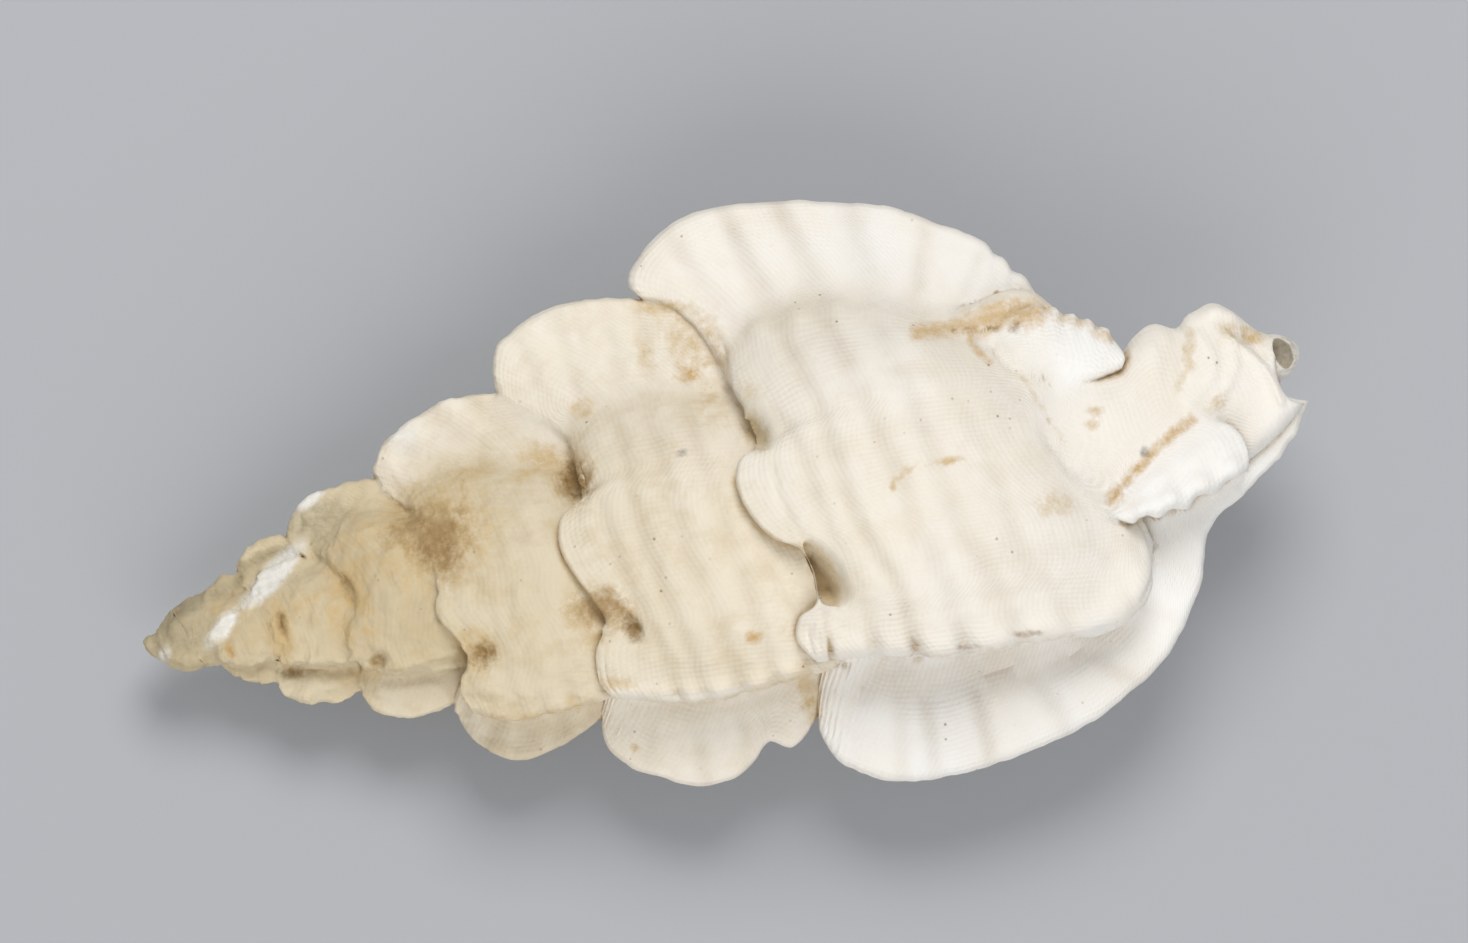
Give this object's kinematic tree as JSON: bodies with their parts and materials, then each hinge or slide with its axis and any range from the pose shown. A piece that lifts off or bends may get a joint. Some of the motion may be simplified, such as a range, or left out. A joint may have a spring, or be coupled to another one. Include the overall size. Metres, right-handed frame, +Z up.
{
  "type": "aspella hildrunae shell",
  "caption": "Small white murex shell: high spire, dorsally flattened turns, broad ribbed side flanges, oval aperture and a short open canal.",
  "frame": {"origin": "centre of the bounding box at the bottom: the surface that the shell rests on", "axes": "+X from the apex to the end of the canal, +Z up through the back of the shell, +Y towards the side away from the outer lip"},
  "size_m": [0.0126, 0.0064, 0.0035],
  "materials": {
    "shell": "matt, chalky, with fine growth lines and tan dirt in the pits and sutures"
  },
  "bodies": {
    "root": {"shell": "shell"}
  },
  "joints": []
}
